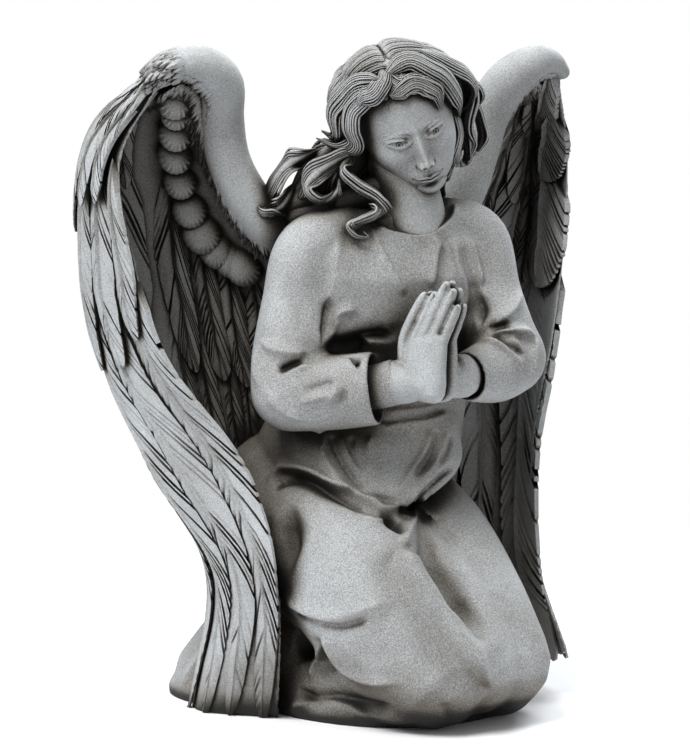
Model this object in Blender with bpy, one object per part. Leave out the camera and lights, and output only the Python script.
"""Kneeling angel with praying hands, one solid casting for a cemetery or a garden.

Metres, +Z up. The figure faces -Y and its right hand is at -X. The origin is on the
flat underside, midway between the front and the back of the casting.
"""

import math

import bmesh
import bpy
import numpy as np
from mathutils import Matrix, Vector
from mathutils.bvhtree import BVHTree

# ---------------------------------------------------------------- driving sizes
HEAD = 0.104  # chin to crown, which every other length of the figure goes by
STONE_GREY = (0.42, 0.41, 0.39, 1.0)
FUSE = 0.0016  # grain of the fused solid
TRIANGLES = 9750

# Joints of the figure.
HEAD_CENTRE = Vector((0.004, -0.050, 0.437))
HEAD_TURN = (24, -20, -20)  # bowed, tipped to the right shoulder, turned to the right
NECK_BASE = (0.013, -0.045, 0.348)

# Torso rings, from the seat to the neck: height, centre x, centre y, half width,
# half depth, turn in degrees.
TORSO = [
    (0.070, -0.006, 0.040, 0.092, 0.086, 0),
    (0.110, -0.006, 0.036, 0.096, 0.082, 0),
    (0.152, -0.004, 0.030, 0.093, 0.070, 0),
    (0.190, 0.001, 0.014, 0.078, 0.060, -3),
    (0.235, 0.004, -0.010, 0.069, 0.050, -6),
    (0.280, 0.004, -0.027, 0.073, 0.051, -9),
    (0.318, 0.004, -0.034, 0.077, 0.047, -10),
    (0.342, 0.004, -0.036, 0.073, 0.038, -10),
    (0.356, 0.005, -0.037, 0.056, 0.030, -10),
    (0.368, 0.006, -0.038, 0.034, 0.022, -10),
]

# Limbs as stations: x, y, z, radius.
UPPER_SLEEVES = {
    "right": [
        (-0.040, -0.030, 0.345, 0.027),
        (-0.064, -0.030, 0.338, 0.030),
        (-0.074, -0.030, 0.3025, 0.029),
        (-0.079, -0.034, 0.262, 0.030),
        (-0.080, -0.040, 0.238, 0.030),
    ],
    "left": [
        (0.048, -0.042, 0.350, 0.027),
        (0.071, -0.045, 0.346, 0.029),
        (0.077, -0.060, 0.310, 0.0265),
        (0.078, -0.072, 0.280, 0.027),
        (0.079, -0.078, 0.260, 0.027),
    ],
}
FORE_SLEEVES = {
    "right": [
        (-0.080, -0.040, 0.238, 0.030),
        (-0.056, -0.066, 0.237, 0.0275),
        (-0.032, -0.086, 0.240, 0.0245),
    ],
    "left": [
        (0.079, -0.078, 0.260, 0.027),
        (0.061, -0.096, 0.252, 0.025),
        (0.042, -0.108, 0.248, 0.023),
    ],
}
THIGHS = {
    "right": [
        (-0.044, 0.035, 0.140, 0.062),
        (-0.044, -0.032, 0.121, 0.060),
        (-0.034, -0.088, 0.086, 0.055),
        (-0.010, -0.122, 0.046, 0.047),
    ],
    "left": [
        (0.032, 0.030, 0.140, 0.054),
        (0.038, -0.038, 0.114, 0.047),
        (0.042, -0.090, 0.080, 0.042),
        (0.048, -0.122, 0.044, 0.036),
    ],
}
CALVES = {
    "right": [(-0.020, -0.11, 0.034, 0.036), (-0.046, 0.02, 0.036, 0.045), (-0.036, 0.10, 0.030, 0.030)],
    "left": [(0.050, -0.11, 0.034, 0.034), (0.050, 0.02, 0.036, 0.042), (0.036, 0.10, 0.030, 0.030)],
}


# ---------------------------------------------------------------- curves and skins
def spline_weights(t, count):
    """Catmull-Rom weights of `count` control points for each t in 0..1."""
    t = np.clip(np.atleast_1d(t), 0, 1) * (count - 1)
    first = np.minimum(t.astype(int), count - 2)
    f = t - first
    parts = (
        -0.5 * f + f**2 - 0.5 * f**3,
        1 - 2.5 * f**2 + 1.5 * f**3,
        0.5 * f + 2 * f**2 - 1.5 * f**3,
        -0.5 * f**2 + 0.5 * f**3,
    )
    weights = np.zeros((len(t), count + 2))
    for step, part in enumerate(parts):
        weights[np.arange(len(t)), first + step] += part
    # The end spans borrow a reflected point.
    weights[:, 1] += 2 * weights[:, 0]
    weights[:, 2] -= weights[:, 0]
    weights[:, -2] += 2 * weights[:, -1]
    weights[:, -3] -= weights[:, -1]
    return weights[:, 1:-1]


def spline(rows, t):
    rows = np.array(rows, float)
    return spline_weights(t, len(rows)) @ rows


def frames_along(path):
    """Unit tangent, side and lift at each point of a path, without twist."""
    tangent = np.gradient(path, axis=0)
    tangent /= np.linalg.norm(tangent, axis=1, keepdims=True)
    start = np.cross(tangent[0], (0, 0, 1) if abs(tangent[0][2]) < 0.9 else (0, 1, 0))
    sides = [start / np.linalg.norm(start)]
    for along in tangent[1:]:
        side = sides[-1] - along * (sides[-1] @ along)
        sides.append(side / np.linalg.norm(side))
    side = np.array(sides)
    return tangent, side, np.cross(tangent, side)


def skin(bm, rings):
    """A closed skin through rings of points, each end closed by a fan."""
    rows = [[bm.verts.new(p) for p in ring] for ring in rings]
    count = len(rows[0])
    for lower, upper in zip(rows, rows[1:]):
        for i in range(count):
            j = (i + 1) % count
            bm.faces.new((lower[i], lower[j], upper[j], upper[i]))
    for row, order in ((rows[0], -1), (rows[-1], 1)):
        centre = bm.verts.new(sum((v.co for v in row), Vector()) / count)
        for i in range(count):
            pair = (row[i], row[(i + 1) % count])[::order]
            bm.faces.new((*pair, centre))


def ring_angles(count):
    return np.linspace(0, 2 * math.pi, count, endpoint=False)


def limb(bm, stations, sides=16, steps=24):
    """A round limb through stations x, y, z, radius, with rounded ends."""
    dense = spline(stations, np.linspace(0, 1, steps))
    path, radius = dense[:, :3], dense[:, 3]
    tangent, side, lift = frames_along(path)
    angle = ring_angles(sides)[:, None]
    rings = []
    caps = [math.radians(a) for a in (75, 50, 25)]
    for a in caps:
        centre = path[0] - tangent[0] * radius[0] * math.sin(a)
        rings.append(centre + radius[0] * math.cos(a) * (np.cos(angle) * side[0] + np.sin(angle) * lift[0]))
    for p, r, s, l in zip(path, radius, side, lift):
        rings.append(p + r * (np.cos(angle) * s + np.sin(angle) * l))
    for a in reversed(caps):
        centre = path[-1] + tangent[-1] * radius[-1] * math.sin(a)
        rings.append(centre + radius[-1] * math.cos(a) * (np.cos(angle) * side[-1] + np.sin(angle) * lift[-1]))
    skin(bm, rings)


def oval(centre, half_x, half_y, turn, sides=40, power=2.4):
    """A level superellipse ring."""
    angle = ring_angles(sides)
    c, s = np.cos(angle), np.sin(angle)
    x = half_x * np.sign(c) * np.abs(c) ** (2 / power)
    y = half_y * np.sign(s) * np.abs(s) ** (2 / power)
    t = math.radians(turn)
    return np.stack(
        [
            centre[0] + x * math.cos(t) - y * math.sin(t),
            centre[1] + x * math.sin(t) + y * math.cos(t),
            np.full(sides, centre[2]),
        ],
        axis=1,
    )


def ellipsoid(bm, centre, radii, turn=Matrix.Identity(3), detail=3):
    made = bmesh.ops.create_icosphere(bm, subdivisions=detail, radius=1.0)
    shape = turn.to_4x4() @ Matrix.Diagonal((*radii, 1))
    bmesh.ops.transform(bm, matrix=Matrix.Translation(centre) @ shape, verts=made["verts"])


def keep_mesh(bm, name):
    """The bmesh as an object's mesh, with its faces turned outward."""
    bmesh.ops.recalc_face_normals(bm, faces=bm.faces)
    mesh = bpy.data.meshes.new(name)
    bm.to_mesh(mesh)
    bm.free()
    obj = bpy.data.objects.new(name, mesh)
    bpy.context.scene.collection.objects.link(obj)
    return obj


def apply_modifiers(obj):
    """The object's evaluated mesh, kept as its own."""
    graph = bpy.context.evaluated_depsgraph_get()
    mesh = bpy.data.meshes.new_from_object(obj.evaluated_get(graph))
    obj.modifiers.clear()
    obj.data = mesh
    return obj


def fuse(obj, grain, smoothing):
    """Overlapping closed bodies become one skin, softened where they meet."""
    remesh = obj.modifiers.new("fuse", "REMESH")
    remesh.mode = "VOXEL"
    remesh.voxel_size = grain
    soften = obj.modifiers.new("soften", "SMOOTH")
    soften.factor = 0.5
    soften.iterations = smoothing
    return apply_modifiers(obj)


def join(target, others):
    """Puts the others' meshes into the target's mesh."""
    bm = bmesh.new()
    for obj in (target, *others):
        bm.from_mesh(obj.data)
    bm.to_mesh(target.data)
    bm.free()
    for obj in others:
        bpy.data.objects.remove(obj)
    return target


# ---------------------------------------------------------------- body under the robe
# Level rings of the skirt: height, centre x, centre y, half width, half depth.
SKIRT = [
    (-0.008, 0.003, 0.016, 0.090, 0.130),
    (0.004, 0.003, 0.014, 0.095, 0.138),
    (0.026, 0.003, 0.014, 0.092, 0.139),
    (0.065, 0.003, 0.022, 0.086, 0.126),
    (0.100, 0.002, 0.034, 0.082, 0.098),
    (0.140, 0.002, 0.040, 0.078, 0.074),
    (0.180, 0.003, 0.024, 0.070, 0.052),
]
# Cloth stretched between the thighs: x, y, z, radius.
LAP_CLOTH = [(0.000, -0.052, 0.122, 0.030), (0.004, -0.100, 0.088, 0.038), (0.020, -0.128, 0.046, 0.038)]
# Rings of the cloth that trails behind the right wing, as the skirt's.
TRAIN = [
    (-0.008, -0.060, 0.054, 0.068, 0.062),
    (0.006, -0.060, 0.054, 0.070, 0.064),
    (0.024, -0.058, 0.052, 0.062, 0.058),
    (0.052, -0.050, 0.046, 0.050, 0.050),
    (0.090, -0.036, 0.036, 0.036, 0.042),
]
TRAIN_FOLDS = 9
FOLD_DEPTH = 1.4  # times each fold's height below
# Folds of the robe, in millimetres: kind, height, half width, then the fold's line.
# A ridge stands out, a groove sinks in, and a lap stands proud on its left and drops.
FOLDS = [
    # the cleft between the thighs, and the pocket over it
    ("lap", 5, 7, [(-34, -119, 131), (-21, -147, 94), (12, -161, 48), (36, -143, 14)]),
    ("groove", 9, 8, [(-14, -78, 156), (-20, -90, 140), (-32, -119, 129)]),
    # the tunic's rolled edge, low in front
    ("ridge", 3.2, 5, [(-92, -12, 166), (-70, -33, 180), (-50, -66, 169), (-24, -85, 153), (6, -60, 158),
                       (41, -39, 171), (66, -22, 176)]),
    ("groove", 3.5, 5, [(-86, -26, 164), (-68, -44, 169), (-49, -74, 160), (-24, -92, 145), (10, -66, 150),
                        (40, -46, 162), (64, -30, 168)]),
    # cloth drawn down from the waist to the tunic's point
    ("ridge", 2.6, 5, [(-51, -31, 205), (-46, -34, 189), (-46, -62, 174), (-26, -80, 161)]),
    ("ridge", 2.2, 4, [(-34, -40, 205), (-26, -42, 188), (-23, -64, 170), (-12, -70, 160)]),
    ("ridge", 2.6, 5, [(46, -41, 202), (32, -42, 181), (17, -46, 166), (-6, -66, 158)]),
    ("ridge", 2.0, 4, [(27, -46, 203), (23, -43, 185), (12, -44, 168)]),
    # under the right thigh: its crease, the pockets below it, and the hem
    ("lap", 5, 8, [(-39, -145, 98), (-56, -139, 94), (-75, -123, 86), (-88, -96, 82), (-96, -64, 90)]),
    ("groove", 8, 10, [(-82, -40, 68), (-87, -74, 64), (-84, -94, 58)]),
    ("ridge", 4, 6, [(-87, -106, 75), (-79, -103, 58), (-69, -112, 43), (-47, -149, 41)]),
    ("groove", 6, 7, [(-80, -44, 22), (-65, -76, 21), (-55, -102, 20), (-42, -146, 28)]),
    ("ridge", 4, 7, [(-86, -30, 8), (-72, -62, 12), (-58, -92, 10), (-38, -132, 12)]),
    ("groove", 2.5, 6, [(-20, -147, 92), (-5, -156, 82), (15, -155, 71)]),
    # between the sleeves and the chest
    ("groove", 4, 6, [(-63, -56, 318), (-66, -56, 296), (-62, -56, 277), (-45, -60, 266), (-25, -68, 264)]),
    ("groove", 4, 6, [(60, -76, 330), (54, -77, 305), (51, -78, 285), (40, -72, 268)]),
    ("ridge", 2.2, 6, [(-75, -53, 353), (-70, -59, 332), (-62, -60, 308)]),
    ("ridge", 2.0, 6, [(-58, -58, 303), (-50, -62, 290), (-41, -66, 280)]),
    ("ridge", 2.0, 6, [(68, -81, 326), (68, -90, 302), (74, -98, 284)]),
    # the crook of each elbow and the folds of the fore sleeves
    ("groove", 4, 3.5, [(-103, -52, 253), (-93, -61, 261), (-80, -63, 267)]),
    ("ridge", 3, 6, [(-83, -66, 262), (-77, -78, 251), (-71, -86, 237), (-62, -82, 219)]),
    ("ridge", 2.5, 5, [(-63, -70, 264), (-58, -90, 254), (-52, -98, 237)]),
    ("ridge", 3, 5, [(89, -101, 270), (66, -117, 265), (44, -123, 260), (24, -116, 256)]),
    ("ridge", 2.5, 5, [(82, -112, 250), (62, -122, 247), (40, -126, 243)]),
    # the neckline with its lapped corner, and the sash
    ("groove", 3, 3.5, [(-21, -50, 366), (-19, -60, 357), (-11, -67, 350), (6, -72, 346), (24, -72, 350),
                        (41, -63, 362), (48, -52, 372)]),
    ("lap", 2, 5, [(12, -82, 306), (17, -80, 330), (25, -73, 349)]),
    ("groove", 2.5, 4, [(-40, -44, 214), (-10, -50, 209), (20, -48, 205), (48, -42, 208)]),
]


def fold_shift(kind, x, width):
    """How far a fold lifts the cloth at x across its line, from 1 to -1."""
    if kind == "ridge":
        return np.exp(-((x / width) ** 2))
    if kind == "groove":
        return -np.exp(-((x / width) ** 2))
    proud = np.exp(-((x / (2.4 * width)) ** 2))
    low = -0.5 * np.exp(-((x / width) ** 2))
    left = 1 / (1 + np.exp(np.clip(x / (0.22 * width), -30, 30)))
    return proud * left + low * (1 - left)


def carve(obj, folds):
    """Moves the cloth in or out along each fold's line, fading at the line's ends."""
    mesh = obj.data
    flat = np.empty(len(mesh.vertices) * 3)
    mesh.vertices.foreach_get("co", flat)
    points = flat.reshape(-1, 3).copy()
    mesh.vertices.foreach_get("normal", flat)
    normals = flat.reshape(-1, 3).copy()
    surface = BVHTree.FromPolygons([tuple(p) for p in points], [tuple(f.vertices) for f in mesh.polygons])
    shift = np.zeros(len(points))
    for kind, height, width, line in folds:
        dense = spline(np.array(line) / 1000, np.linspace(0, 1, 12 * len(line)))
        found = [surface.find_nearest(Vector(p)) for p in dense]
        path = np.array([f[0] for f in found])
        facing = np.array([f[1] for f in found])
        tangent = np.gradient(path, axis=0)
        side = np.cross(tangent, facing)
        side /= np.linalg.norm(side, axis=1, keepdims=True) + 1e-9
        reach = 3.5 * width / 1000
        inside = np.flatnonzero(
            ((points > path.min(0) - reach) & (points < path.max(0) + reach)).all(axis=1)
        )
        offset = points[inside, None] - path[None]
        distance = np.linalg.norm(offset, axis=2)
        nearest = distance.argmin(axis=1)
        rows = np.arange(len(inside))
        across = (offset[rows, nearest] * side[nearest]).sum(1)
        along = nearest / (len(path) - 1)
        fade = np.clip(np.minimum(along, 1 - along) / 0.18, 0, 1)
        fade = fade * fade * (3 - 2 * fade)
        same_side = np.clip((normals[inside] * facing[nearest]).sum(1) * 3, 0, 1)
        shift[inside] += FOLD_DEPTH * height / 1000 * fade * same_side * fold_shift(kind, across, width / 1000)
    mesh.vertices.foreach_set("co", (points + normals * shift[:, None]).ravel())
    mesh.update()


def train_folds():
    """Ridges that fan out from the seat to the hem, round the back of the skirt."""
    folds = []
    for k in range(TRAIN_FOLDS):
        around = math.radians(-20 + 215 * k / (TRAIN_FOLDS - 1))
        ray = np.array([-math.cos(around), math.sin(around)])
        line = []
        for z, reach in ((105, 62), (70, 84), (38, 108), (6, 128)):
            sway = 5 * math.sin(1.9 * k + z / 24)
            line.append((ray[0] * reach + sway * ray[1] - 8, ray[1] * reach - sway * ray[0] + 30, z))
        folds.append(("ridge", 3.6, 7 + 2 * (k % 2), line))
    return folds


def robed_body():
    """Torso, sleeves, thighs and skirt as one soft skin, with its folds."""
    bm = bmesh.new()
    skin(bm, [oval((x, y, z), rx, ry, turn) for z, x, y, rx, ry, turn in TORSO])
    for rings in (SKIRT, TRAIN):
        skin(bm, [oval((x, y, z), rx, ry, 0, power=2.2) for z, x, y, rx, ry in rings])
    for limbs in (UPPER_SLEEVES, FORE_SLEEVES, THIGHS, CALVES):
        for stations in limbs.values():
            limb(bm, stations)
    limb(bm, LAP_CLOTH)
    body = fuse(keep_mesh(bm, "body"), 0.0026, 10)
    carve(body, FOLDS + train_folds())
    return body


# ---------------------------------------------------------------- wings
# The cupped wing as a net for the left side, in millimetres: each rib runs from the
# arched arm down to the feather tips, and the ribs go from the spine, round the back
# of the hollow, to the free lip in front.
WING_NET = [
    [(30, -5, 352), (22, 8, 315), (18, 22, 275), (16, 35, 235), (16, 45, 195), (20, 55, 160)],
    [(80, 10, 366), (63, 42, 315), (56, 54, 260), (52, 58, 215), (50, 57, 180), (50, 55, 150)],
    [(110, 14, 424), (102, 53, 370), (92, 68, 300), (84, 70, 235), (80, 65, 180), (78, 45, 130)],
    [(129, -3, 468), (140, 53, 420), (130, 80, 340), (121, 82, 260), (115, 62, 185), (108, 25, 105)],
    [(154, 2, 470), (183, 62, 420), (188, 77, 340), (176, 72, 260), (155, 34, 180), (125, -16, 100)],
    [(168, 2, 454), (187, 22, 400), (179, 14, 330), (162, 2, 260), (122, -40, 185), (107, -72, 105)],
]
# Where each rib ends: the right wing spreads on the ground, the left hangs clear of it.
WING_ENDS = {
    -1: [(25, 60, 130), (50, 50, 112), (80, 40, 60), (118, 42, -4), (132, 2, -6), (92, -42, -6)],
    1: [(25, 60, 130), (50, 48, 118), (80, 26, 84), (114, -4, 50), (139, -44, 28), (122, -90, 38)],
}
# The arm along the wing's top: x, y, z, radius, in millimetres.
WING_ARM = [
    (50, 4, 338, 20),
    (74, 10, 354, 18),
    (92, 13, 378, 16.5),
    (104, 16, 404, 16),
    (111, 13, 434, 17),
    (119, -4, 459, 16.5),
    (139, -10, 473, 13),
    (162, 0, 471, 8.5),
    (179, 15, 453, 4),
]
WING_WALL = 0.0045  # half the shell's thickness


class WingSheet:
    """The wing's middle surface: u from spine to lip, v from arm to tips."""

    def __init__(self, side):
        net = [rib + [end] for rib, end in zip(WING_NET, WING_ENDS[side])]
        self.net = np.array(net, float) * (side / 1000, 0.001, 0.001)
        self.side = side

    def at(self, u, v):
        u, v = np.broadcast_arrays(np.atleast_1d(u), np.atleast_1d(v))
        across = spline_weights(u, self.net.shape[0])
        down = spline_weights(v, self.net.shape[1])
        return np.einsum("ni,nj,ijk->nk", across, down, self.net)

    def outward(self, u, v):
        """Unit normals on the convex side, which faces back and out."""
        u, v = np.broadcast_arrays(np.atleast_1d(u), np.atleast_1d(v))
        e = 0.01
        du = self.at(np.minimum(u + e, 1), v) - self.at(np.maximum(u - e, 0), v)
        dv = self.at(u, np.minimum(v + e, 1)) - self.at(u, np.maximum(v - e, 0))
        normal = np.cross(du, dv) * self.side
        return normal / np.linalg.norm(normal, axis=1, keepdims=True)


def wing_shell(bm, sheet, across=25, down=29):
    """The bare shell, thinner towards its rim, as one closed body."""
    u, v = np.meshgrid(np.linspace(0, 1, across), np.linspace(0, 1, down), indexing="ij")
    u, v = u.ravel(), v.ravel()
    middle, normal = sheet.at(u, v), sheet.outward(u, v)
    rim = np.minimum(1 - u, (1 - v) * 2)
    wall = WING_WALL * np.clip(0.45 + rim * 5, 0.45, 1)[:, None]
    outer = [bm.verts.new(p) for p in middle + normal * wall]
    inner = [bm.verts.new(p) for p in middle - normal * wall]

    def index(i, j):
        return i * down + j

    for i in range(across - 1):
        for j in range(down - 1):
            corners = (index(i, j), index(i + 1, j), index(i + 1, j + 1), index(i, j + 1))
            bm.faces.new([outer[c] for c in corners])
            bm.faces.new([inner[c] for c in reversed(corners)])
    border = [index(i, 0) for i in range(across)]
    border += [index(across - 1, j) for j in range(1, down)]
    border += [index(i, down - 1) for i in range(across - 2, -1, -1)]
    border += [index(0, j) for j in range(down - 2, 0, -1)]
    for a, b in zip(border, border[1:] + border[:1]):
        bm.faces.new((outer[b], outer[a], inner[a], inner[b]))


FEATHER_RISE = 0.0058
# Rows of feathers, the lowest layer first: side of the sheet (1 outer, -1 inner), count,
# roots and tips as (u, v) at the first, middle and last feather, and lift of the tips.
WING_ROWS = [
    (-1, 6, [(0.26, 0.34), (0.60, 0.38), (0.95, 0.44)], [(0.22, 0.60), (0.52, 0.93), (0.93, 0.98)], 0.0000),
    (-1, 6, [(0.22, 0.22), (0.60, 0.22), (0.95, 0.22)], [(0.20, 0.44), (0.56, 0.52), (0.93, 0.52)], 0.0040),
    (-1, 7, [(0.20, 0.11), (0.60, 0.11), (0.95, 0.11)], [(0.20, 0.31), (0.58, 0.34), (0.93, 0.33)], 0.0055),
    (-1, 8, [(0.18, 0.02), (0.60, 0.02), (0.95, 0.02)], [(0.20, 0.19), (0.60, 0.20), (0.93, 0.19)], 0.0070),
    (1, 7, [(0.08, 0.44), (0.60, 0.40), (0.97, 0.42)], [(0.08, 0.86), (0.62, 0.98), (0.97, 0.98)], 0.0000),
    (1, 7, [(0.06, 0.20), (0.60, 0.17), (0.97, 0.20)], [(0.07, 0.56), (0.62, 0.56), (0.97, 0.53)], 0.0050),
    (1, 7, [(0.05, 0.02), (0.60, 0.02), (0.97, 0.02)], [(0.05, 0.30), (0.62, 0.29), (0.96, 0.28)], 0.0065),
]


def feather(bm, sheet, face, root, tip, spread, lift, steps=8):
    """One feather on the sheet, as wide as its share, spread, of the sheet's u."""
    s = np.linspace(0, 1, steps)
    u = root[0] + (tip[0] - root[0]) * s
    v = root[1] + (tip[1] - root[1]) * s
    out = sheet.outward(u, v) * face
    spine = sheet.at(u, v) + out * (WING_WALL * 0.85 + lift * s)[:, None]
    along = np.gradient(spine, axis=0)
    along /= np.linalg.norm(along, axis=1, keepdims=True)
    across = np.cross(out, along)
    pitch = np.linalg.norm(sheet.at(u + spread / 2, v) - sheet.at(u - spread / 2, v), axis=1)
    width = np.clip(pitch * 0.47, 0.006, 0.022) * np.sqrt(np.clip(1 - (s * 1.02) ** 6, 0.02, 1))
    thick = FEATHER_RISE * np.sqrt(np.clip(1 - (s * 0.95) ** 8, 0.1, 1))
    section = [(-1, -0.6), (-0.93, 0.1), (0, 0.9), (0.93, 0.1), (1, -0.6), (0.5, -1.4), (-0.5, -1.4)]
    rings = [
        [p + a * w * x + o * t * h for x, h in section]
        for p, a, o, w, t in zip(spine, across, out, width, thick)
    ]
    skin(bm, rings)


def wing(side):
    """Shell, arched arm and rows of feathers, each row under the one above it."""
    sheet = WingSheet(side)
    bm = bmesh.new()
    wing_shell(bm, sheet)
    limb(bm, np.array(WING_ARM) * (side / 1000, 0.001, 0.001, 0.001))
    for face, count, roots, tips, lift in WING_ROWS:
        for k in range(count):
            f = k / (count - 1)
            spread = (roots[2][0] - roots[0][0]) / (count - 1)
            stagger = 0.0014 * (k % 2)
            feather(bm, sheet, face, spline(roots, f)[0], spline(tips, f)[0], spread, lift + stagger)
    return keep_mesh(bm, "wing")


# ---------------------------------------------------------------- head
# Ellipsoids of the bare head about its centre: centre and radii, in head heights.
SKULL = [
    ((0, 0.04, 0.04), (0.350, 0.437, 0.405)),
    ((0, -0.115, -0.155), (0.295, 0.285, 0.385)),
    ((0, -0.20, -0.385), (0.195, 0.205, 0.178)),
    ((0.16, -0.195, -0.17), (0.135, 0.155, 0.17)),
    ((-0.16, -0.195, -0.17), (0.135, 0.155, 0.17)),
]


def head_matrix():
    bow, tip, turn = (math.radians(a) for a in HEAD_TURN)
    turned = Matrix.Rotation(turn, 4, "Z") @ Matrix.Rotation(tip, 4, "Y") @ Matrix.Rotation(bow, 4, "X")
    return Matrix.Translation(HEAD_CENTRE) @ turned


def ray_to_ellipsoids(directions, softness=0.02):
    """Distance from the centre to the blended outside of the skull's ellipsoids."""
    reach = []
    for centre, radii in SKULL:
        d, c = directions / radii, np.array(centre) / radii
        a, b, k = (d * d).sum(1), (d * c).sum(1), (c * c).sum() - 1
        root = b * b - a * k
        reach.append(np.where(root > 0, (b + np.sqrt(np.maximum(root, 0))) / a, 0))
    return softness * np.log(np.exp(np.array(reach) / softness).sum(0))


def bump(x, z, at, size):
    return np.exp(-(((x - at[0]) / size[0]) ** 2) - ((z - at[1]) / size[1]) ** 2)


def face_relief(x, z):
    """How far the features stand out, in head heights, at x across and z up."""
    side = np.abs(x)
    # The nose widens and rises from the brow to the tip, then falls away under it.
    down = np.clip((0.0 - z) / 0.25, 0, 1)
    under = 1 / (1 + np.exp(-(z + 0.285) / 0.008))
    nose = 0.125 * down**1.2 * under * np.exp(-((x / (0.032 + 0.030 * down)) ** 2))
    relief = nose + 0.035 * bump(side, z, (0.052, -0.262), (0.026, 0.022))
    relief -= 0.048 * bump(side, z, (0.140, -0.045), (0.085, 0.055))
    relief += 0.026 * bump(side, z, (0.135, -0.062), (0.055, 0.026))
    relief += 0.016 * bump(side, z, (0.120, 0.040), (0.100, 0.030))
    relief += 0.030 * bump(x, z, (0, -0.350), (0.085, 0.020))
    relief += 0.030 * bump(x, z, (0, -0.398), (0.070, 0.020))
    relief -= 0.020 * bump(x, z, (0, -0.373), (0.100, 0.007))
    relief -= 0.020 * bump(x, z, (0, -0.440), (0.080, 0.020))
    relief += 0.020 * bump(x, z, (0, -0.495), (0.070, 0.040))
    return relief


def bare_head():
    bm = bmesh.new()
    bmesh.ops.create_icosphere(bm, subdivisions=6, radius=1.0)
    obj = keep_mesh(bm, "head")
    flat = np.empty(len(obj.data.vertices) * 3)
    obj.data.vertices.foreach_get("co", flat)
    rays = flat.reshape(-1, 3)
    points = rays * ray_to_ellipsoids(rays)[:, None]
    front = np.clip(-rays[:, 1] * 3 - 0.6, 0, 1)
    points[:, 1] -= face_relief(points[:, 0], points[:, 2]) * front
    obj.data.vertices.foreach_set("co", (points * HEAD).ravel())
    obj.data.transform(head_matrix())
    return obj


HAIR_CAP = ((0, 0.095, 0.090), (0.395, 0.435, 0.410))
# Locks of hair from the parting outwards: x, y, z, radius, in millimetres.
LOCKS = [
    # right of the parting, down to the temple and over the shoulder
    [(-26, -85, 448, 4), (-35, -76, 450, 5.5), (-41, -63, 441, 6), (-41, -60, 427, 6),
     (-36, -54, 416, 5.5), (-43, -43, 412, 5.5), (-57, -34, 419, 4.5)],
    [(-27, -81, 461, 4.5), (-40, -62, 455, 6.5), (-45, -44, 440, 7), (-45, -40, 422, 6.5),
     (-52, -33, 424, 5)],
    [(-26, -71, 474, 5), (-38, -50, 470, 7), (-45, -32, 452, 7.5), (-47, -26, 430, 7), (-54, -26, 412, 6)],
    [(-20, -56, 485, 5), (-34, -34, 477, 7.5), (-43, -14, 458, 8), (-45, -5, 432, 8), (-48, -4, 405, 7)],
    # left of the parting
    [(-24, -86, 449, 4), (-15, -90, 456, 5), (-2, -92, 458, 5.5), (8, -93, 452, 5.5), (15, -92, 440, 4)],
    [(-25, -79, 464, 4.5), (-8, -84, 474, 6), (10, -88, 466, 6.5), (24, -85, 455, 6.5),
     (36, -76, 445, 6), (42, -66, 432, 5)],
    [(-22, -67, 479, 5), (-4, -70, 484, 6.5), (13, -72, 479, 7), (27, -73, 468, 7), (40, -68, 467, 6),
     (50, -67, 458, 5), (53, -62, 446, 5), (47, -58, 436, 4.5)],
    [(-16, -52, 485, 5.5), (4, -50, 487, 7), (22, -50, 479, 8), (35, -46, 464, 8), (42, -42, 446, 8),
     (44, -40, 425, 7)],
    [(38, -62, 440, 6.5), (42, -64, 424, 6.5), (40, -64, 408, 6), (47, -57, 398, 5)],
    [(48, -52, 434, 5), (54, -54, 420, 5), (56, -54, 405, 5), (51, -56, 399, 4), (47, -57, 407, 3.5)],
    [(42, -46, 412, 7), (42, -48, 397, 7), (37, -46, 384, 6)],
    # curls on the right shoulder
    [(-30, -50, 412, 5), (-42, -44, 406, 6), (-55, -36, 396, 6.5), (-62, -32, 384, 6.5),
     (-54, -37, 375, 6), (-45, -42, 380, 5.5), (-43, -43, 390, 4.5)],
    [(-33, -46, 410, 5), (-41, -46, 397, 6), (-34, -54, 387, 6.5), (-22, -63, 377, 6.5),
     (-24, -65, 367, 6), (-36, -63, 361, 5), (-45, -62, 357, 4.5), (-42, -67, 350, 4),
     (-34, -70, 349, 3.5), (-37, -69, 353, 3)],
    [(-52, -24, 410, 6), (-66, -16, 402, 7), (-76, -8, 388, 7), (-76, 0, 375, 6.5), (-66, 2, 368, 6),
     (-62, -12, 376, 5)],
    [(-64, -12, 384, 6), (-74, -12, 370, 6), (-82, -8, 364, 5.5), (-86, 0, 369, 5), (-92, 6, 380, 4)],
    [(-36, -30, 405, 8), (-44, -26, 390, 9), (-42, -22, 372, 9), (-40, -24, 358, 7)],
]
CURLS = 5  # how many of the last locks hang free, and are round
BACK_LOCKS = 9
LOCK_SECTION = (1.5, 0.75)  # a lock's half width and half height, in its radius
ROOT_SINK = 0.0045  # how deep a lock starts under the hair around it


def lock(bm, stations, centre, sides=10, steps=24):
    """A flattened lock whose flat side turns to the centre."""
    dense = spline(stations, np.linspace(0, 1, steps))
    path, radius = dense[:, :3], dense[:, 3:]
    tangent = frames_along(path)[0]
    lift = path - centre
    lift -= tangent * (lift * tangent).sum(1, keepdims=True)
    lift /= np.linalg.norm(lift, axis=1, keepdims=True)
    side = np.cross(tangent, lift)
    path = path - lift * (ROOT_SINK * np.clip(1 - np.linspace(0, 5, steps), 0, 1))[:, None]
    angle = ring_angles(sides)[:, None]
    wide, high = LOCK_SECTION
    taper = np.sqrt(np.clip(1 - np.abs(np.linspace(-1, 1, steps)) ** 12, 0.1, 1))
    rings = [
        p + r * t * (wide * np.cos(angle) * s + high * np.sin(angle) * l)
        for p, r, t, s, l in zip(path, radius, taper, side, lift)
    ]
    skin(bm, rings)


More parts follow.
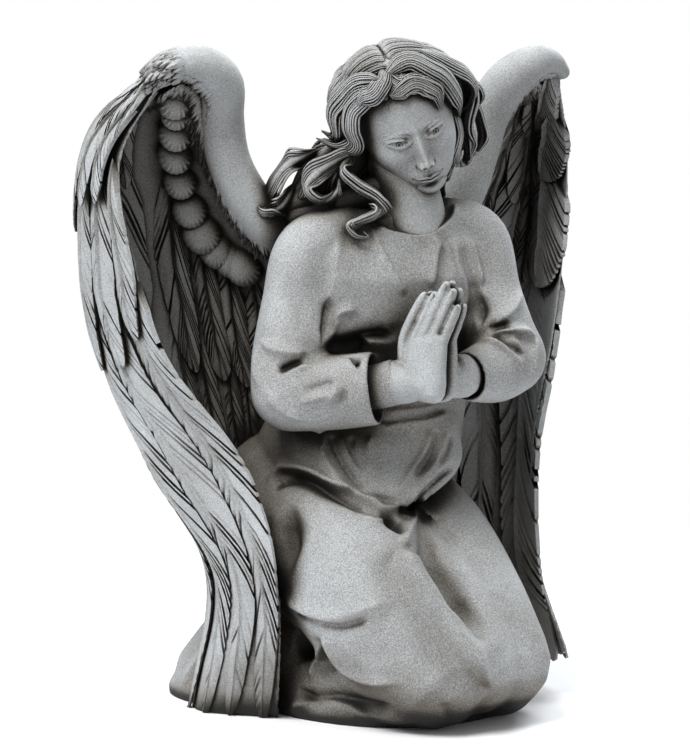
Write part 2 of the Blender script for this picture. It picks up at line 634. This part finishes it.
def hair():
    """A cap under long locks; those at the back hang in a fall round the nape."""
    bm = bmesh.new()
    turned = head_matrix()
    centre, radii = (Vector(v) * HEAD for v in HAIR_CAP)
    middle = turned @ centre
    ellipsoid(bm, middle, radii, turned.to_3x3())
    for stations in LOCKS[:-CURLS]:
        lock(bm, np.array(stations) / 1000, np.array(middle), steps=5 * len(stations))
    for stations in LOCKS[-CURLS:]:
        limb(bm, np.array(stations) * (1, 1, 1, 1.25) / 1000, sides=10, steps=5 * len(stations))
    for k in range(BACK_LOCKS):
        around = math.radians(-95 + 190 * k / (BACK_LOCKS - 1))
        fall = []
        for high, radius in ((72, 0.006), (40, 0.0085), (8, 0.009), (-22, 0.009)):
            level = math.cos(math.radians(high))
            aim = Vector((level * math.sin(around), level * math.cos(around), math.sin(math.radians(high))))
            fall.append((*(turned @ (centre + radii * aim)), radius))
        wave = 0.003 * (-1) ** k
        for z, out, radius in ((0.385, 0.046, 0.0085), (0.368, 0.050, 0.007), (0.354, 0.047, 0.004)):
            x, y = 0.004 + out * math.sin(around) + wave, -0.014 + 0.45 * out * math.cos(around)
            fall.append((x, y, z, radius))
            wave = -wave
        lock(bm, fall, np.array(middle))
    return keep_mesh(bm, "hair")


# ---------------------------------------------------------------- hands
# The palms meet on a plane that leans with the fingers: origin at the heel.
PALM_HEEL = Vector((-0.006, -0.108, 0.238))
PALM_TIPS = Vector((0.004, -0.140, 0.320))
PALM_OUT = Vector((0.906, 0.423, 0))  # from the right palm to the left one
FINGERS = [  # place across the palm, length, radius, in millimetres
    (-14, 31, 4.9),
    (-4.8, 36, 5.3),
    (4.6, 34, 5.2),
    (13.4, 26, 4.6),
]


def hands():
    """Both hands, palm to palm, fingers up, thumbs towards the chest."""
    bm = bmesh.new()
    up = (PALM_TIPS - PALM_HEEL).normalized()
    out = (PALM_OUT - up * PALM_OUT.dot(up)).normalized()
    fore = up.cross(out)  # towards the chest side
    for side in (-1, 1):
        def place(across, height, off):
            return PALM_HEEL + fore * across / 1000 + up * height / 1000 + out * side * off / 1000

        palm = [(0, -4, 8.5, 9.5), (0, 12, 8.5, 9.5), (0, 28, 7.5, 8.5), (0, 42, 6.5, 7)]
        for across in (-9, 0, 9):
            limb(bm, [(*place(across + a, h, o), r / 1000) for a, h, o, r in palm], 12, 10)
        for across, length, radius in FINGERS:
            stations = [(across, 38, 6.4, radius + 0.6), (across * 0.98, 38 + length * 0.5, 5.6, radius)]
            stations.append((across * 0.9, 40 + length, 4.6, radius * 0.8))
            limb(bm, [(*place(a, h, o), r / 1000) for a, h, o, r in stations], 10, 8)
        thumb = [(14, 10, 8, 8), (19, 26, 7, 6.5), (21, 42, 5.5, 5.4), (20, 53, 4.5, 4.4)]
        limb(bm, [(*place(a, h, o), r / 1000) for a, h, o, r in thumb], 10, 10)
    wrists = {-1: (-0.040, -0.083, 0.241), 1: (0.036, -0.108, 0.250)}
    for side, wrist in wrists.items():
        heel = PALM_HEEL + out * side * 0.010 + up * 0.006
        limb(bm, [(*wrist, 0.0165), (*(Vector(wrist) * 0.5 + heel * 0.5), 0.0155), (*heel, 0.014)], 14, 10)
    return keep_mesh(bm, "hands")


def neck():
    bm = bmesh.new()
    limb(bm, [(*NECK_BASE, 0.031), (0.011, -0.047, 0.373, 0.0245), (0.003, -0.046, 0.402, 0.0225)])
    return keep_mesh(bm, "neck")


# ---------------------------------------------------------------- casting
def cut_underside(obj):
    """Cuts everything under the ground plane off flat."""
    bm = bmesh.new()
    bm.from_mesh(obj.data)
    everything = bm.verts[:] + bm.edges[:] + bm.faces[:]
    bmesh.ops.bisect_plane(bm, geom=everything, plane_co=(0, 0, 0), plane_no=(0, 0, 1), clear_inner=True)
    rim = [e for e in bm.edges if e.is_boundary]
    bmesh.ops.holes_fill(bm, edges=rim, sides=0)
    bmesh.ops.triangulate(bm, faces=bm.faces[:], ngon_method="BEAUTY")
    bmesh.ops.dissolve_degenerate(bm, dist=0.00005, edges=bm.edges[:])
    bm.to_mesh(obj.data)
    bm.free()


def keep_largest(obj):
    """Drops loose grains that the fusing leaves beside the casting."""
    bm = bmesh.new()
    bm.from_mesh(obj.data)
    unseen, islands = set(bm.verts), []
    while unseen:
        island, edge = set(), [unseen.pop()]
        while edge:
            vert = edge.pop()
            island.add(vert)
            for other in (e.other_vert(vert) for e in vert.link_edges):
                if other in unseen:
                    unseen.discard(other)
                    edge.append(other)
        islands.append(island)
    islands.sort(key=len)
    for island in islands[:-1]:
        bmesh.ops.delete(bm, geom=list(island), context="VERTS")
    bm.to_mesh(obj.data)
    bm.free()


def thin_out(obj, triangles):
    """Keeps about this many triangles, most of them where the carving is fine."""
    thinner = obj.modifiers.new("thin out", "DECIMATE")
    thinner.use_collapse_triangulate = True
    count = sum(len(face.vertices) - 2 for face in obj.data.polygons)
    thinner.ratio = min(1, triangles / count)
    return apply_modifiers(obj)


def stone():
    material = bpy.data.materials.new("stone")
    material.use_nodes = True
    shader = material.node_tree.nodes["Principled BSDF"]
    shader.inputs["Base Color"].default_value = STONE_GREY
    shader.inputs["Roughness"].default_value = 0.82
    shader.inputs["Metallic"].default_value = 0.0
    return material


def clear_scene():
    for obj in list(bpy.data.objects):
        bpy.data.objects.remove(obj)


def statue():
    """All the forms, fused into the one casting that they are."""
    body = robed_body()
    casting = join(body, [bare_head(), hair(), neck(), hands(), wing(-1), wing(1)])
    casting.name = "angel_statue"
    fuse(casting, FUSE, 1)
    keep_largest(casting)
    thin_out(casting, TRIANGLES)
    cut_underside(casting)
    casting.data.materials.clear()
    casting.data.materials.append(stone())
    casting.data.shade_smooth()
    casting.data.set_sharp_from_angle(angle=math.radians(50))
    return casting


def main():
    clear_scene()
    statue()


if __name__ == "__main__":
    main()
